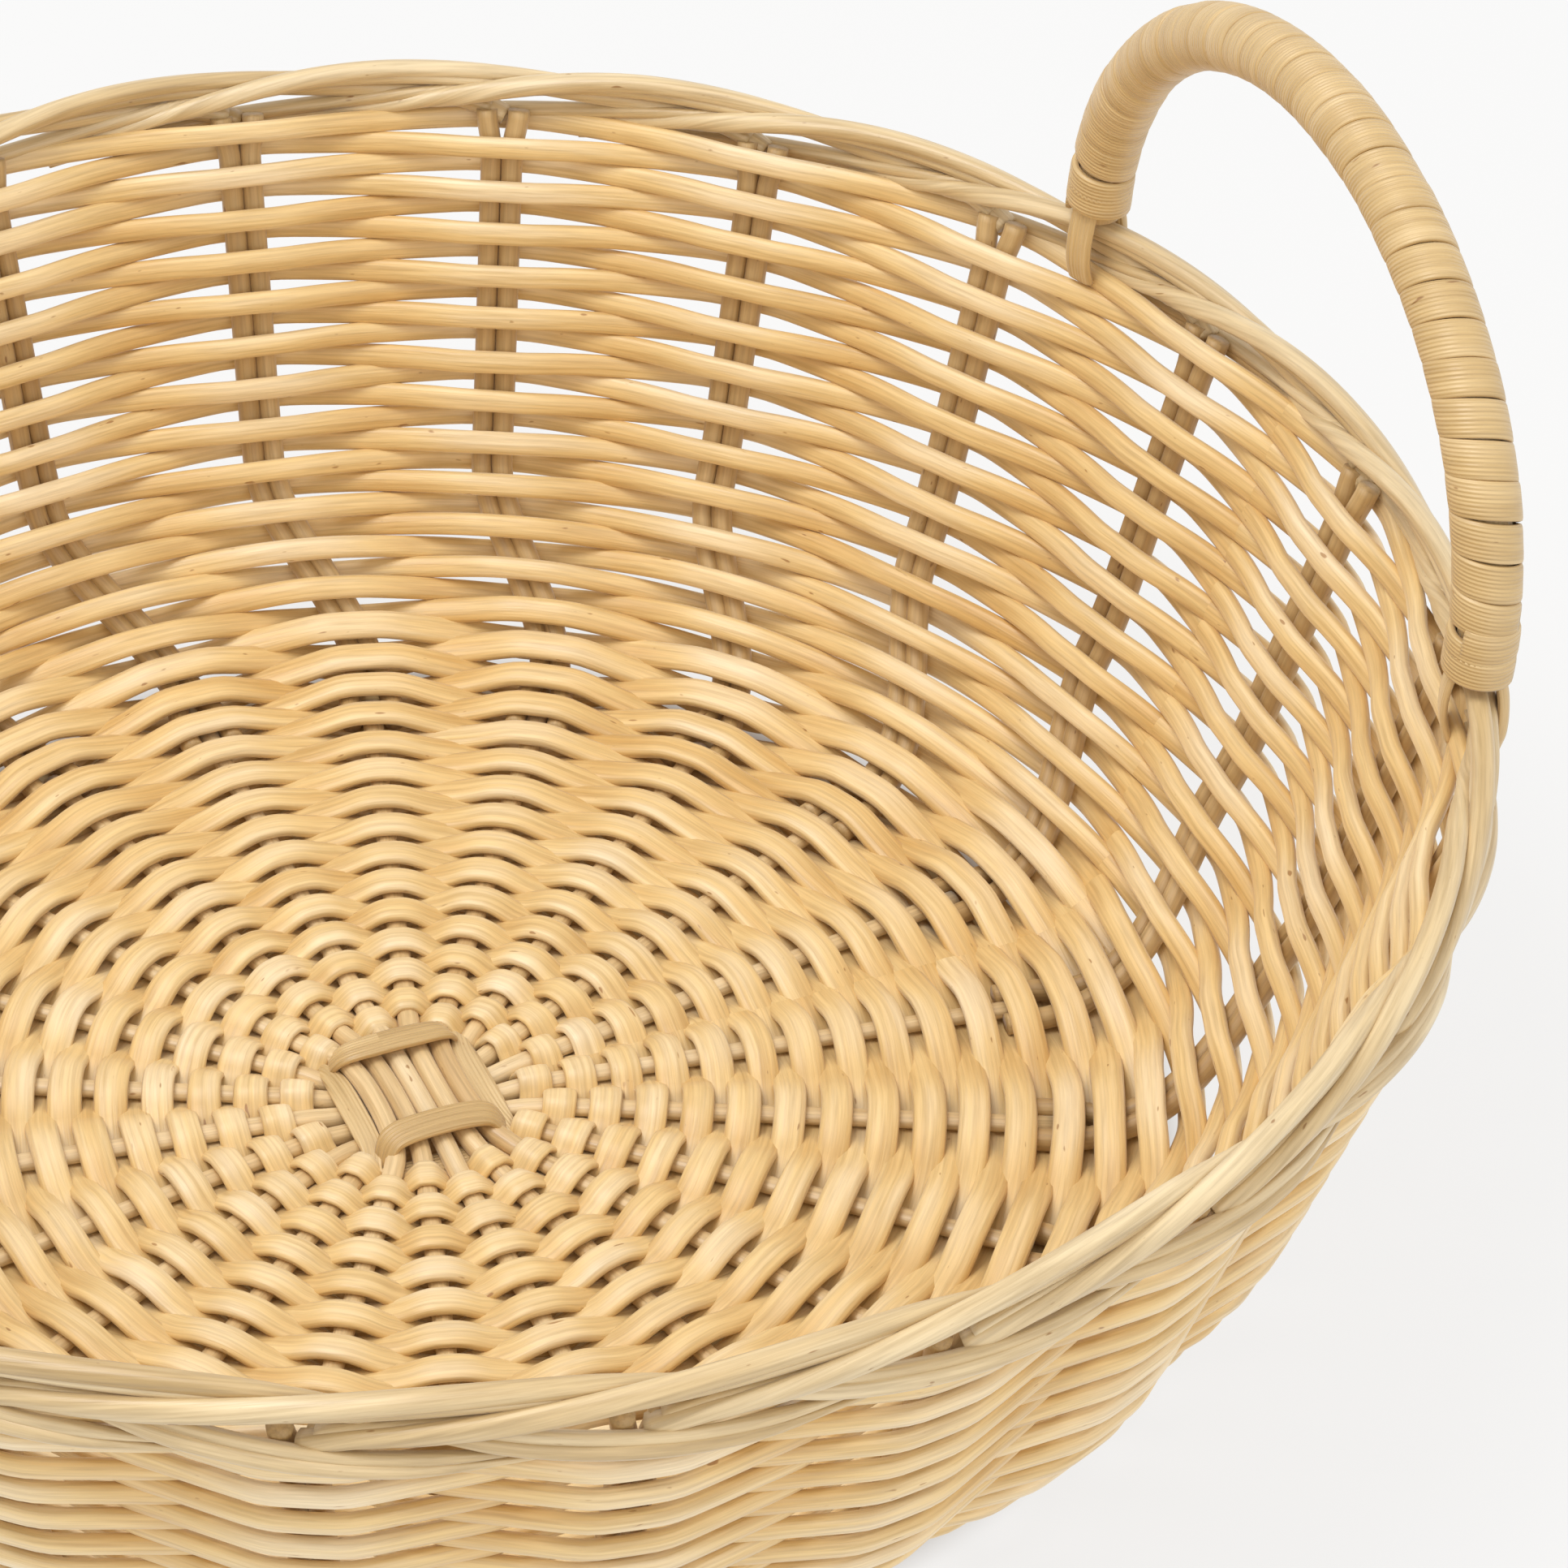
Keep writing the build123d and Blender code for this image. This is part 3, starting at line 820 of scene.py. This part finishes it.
# ---- floor, light and camera, with lengths in metres ----
FLOOR_HALF = 4.0
FLOOR_SHADE = 0.15
FLOOR_GLOW = 0.765
PAINTED_SHADOW_GLOW = (0.11, 0.06, 0.022)        # painted shadow: below the weave the floor glows only this dim warm brown, a painted contact shadow with a little painted warm bounce light
UNDER_R = 0.112                         # it ends here, inside the turn-up,
OPEN_R = 0.128                          # and the open floor starts here

WORLD_COLOUR = (1.0, 0.985, 0.96, 1)
WORLD_STRENGTH = 0.87
# Each one's name, distance from the axis, degrees round from the camera, height, size, power
# and colour.
LAMPS = (
    ("key", 0.5, -80, 1.5, 0.8, 12, (1.0, 0.99, 0.975)),
    ("fill", 1.2, 25, 0.7, 1.2, 3, (1.0, 0.95, 0.87)),
)

CAMERA_AZIMUTH = -110.58        # where the camera stands, round from +X
CAMERA_ELEVATION = 41.93
CAMERA_DISTANCE = 1.0369        # from the middle of the base
CAMERA_ROLL = -0.4188
AIM_LEFT = 3.303                # degrees that the middle of the base shows left of the view's centre
AIM_BELOW = 2.854
LENS = 146.0
SENSOR = 36.0
FAR_CLIP = 20


def floor():
    mesh = bpy.data.meshes.new("floor")
    corners = [(x * FLOOR_HALF, y * FLOOR_HALF, 0) for x, y in ((-1, -1), (1, -1), (1, 1), (-1, 1))]
    mesh.from_pydata(corners, [], [(0, 1, 2, 3)])
    plane = bpy.data.objects.new("floor", mesh)
    bpy.context.scene.collection.objects.link(plane)
    material = bpy.data.materials.new("floor")
    material.use_nodes = True
    tree = material.node_tree
    shader = tree.nodes["Principled BSDF"]
    shader.inputs["Base Color"].default_value = (FLOOR_SHADE, FLOOR_SHADE, FLOOR_SHADE, 1)
    shader.inputs["Roughness"].default_value = 1.0
    shader.inputs["Specular IOR Level"].default_value = 0.0
    place = node(tree, "ShaderNodeNewGeometry").outputs["Position"]
    distance = node(tree, "ShaderNodeVectorMath", operation="LENGTH")
    tree.links.new(place, distance.inputs[0])
    beyond = node(tree, "ShaderNodeMapRange", interpolation_type="SMOOTHSTEP")
    beyond.inputs["From Min"].default_value = UNDER_R
    beyond.inputs["From Max"].default_value = OPEN_R
    tree.links.new(distance.outputs["Value"], beyond.inputs["Value"])
    # The floor glows evenly outside OPEN_R; inside it the glow fades to the painted shadow below the basket.
    glow = ramp(tree, beyond.outputs[0], [(0.0, PAINTED_SHADOW_GLOW), (1.0, (FLOOR_GLOW,) * 3)])
    tree.links.new(glow, shader.inputs["Emission Color"])
    shader.inputs["Emission Strength"].default_value = 1.0
    mesh.materials.append(material)


def area_light(name, place, size, power, colour):
    """A square lamp that faces the origin."""
    data = bpy.data.lights.new(name, "AREA")
    data.size = size
    data.energy = power
    data.color = colour
    lamp = bpy.data.objects.new(name, data)
    lamp.location = place
    lamp.rotation_mode = "QUATERNION"
    lamp.rotation_quaternion = (-Vector(place)).to_track_quat("-Z", "Y")
    bpy.context.scene.collection.objects.link(lamp)


def lights():
    world = bpy.data.worlds.new("studio")
    bpy.context.scene.world = world
    world.use_nodes = True
    background = world.node_tree.nodes["Background"]
    background.inputs["Color"].default_value = WORLD_COLOUR
    background.inputs["Strength"].default_value = WORLD_STRENGTH
    for name, away, degrees, height, size, power, colour in LAMPS:
        area_light(name, polar(away, CAMERA_AZIMUTH + degrees, height), size, power, colour)


def camera():
    data = bpy.data.cameras.new("camera")
    data.lens = LENS
    data.sensor_width = SENSOR
    data.clip_end = FAR_CLIP
    eye = bpy.data.objects.new("camera", data)
    bpy.context.scene.collection.objects.link(eye)
    level = math.cos(math.radians(CAMERA_ELEVATION))
    back = Vector(polar(level, CAMERA_AZIMUTH, math.sin(math.radians(CAMERA_ELEVATION))))
    eye.location = Vector((0, 0, STICK_LEVEL * MM)) + back * CAMERA_DISTANCE
    roll = Quaternion((0, 0, 1), math.radians(CAMERA_ROLL))
    middle = Vector((-math.tan(math.radians(AIM_LEFT)), -math.tan(math.radians(AIM_BELOW)), -1))
    eye.rotation_mode = "QUATERNION"
    eye.rotation_quaternion = (
        (-back).to_track_quat("-Z", "Y") @ roll @ middle.rotation_difference(Vector((0, 0, -1)))
    )
    bpy.context.scene.camera = eye


floor()
lights()
camera()
bpy.context.scene.view_settings.view_transform = "Standard"
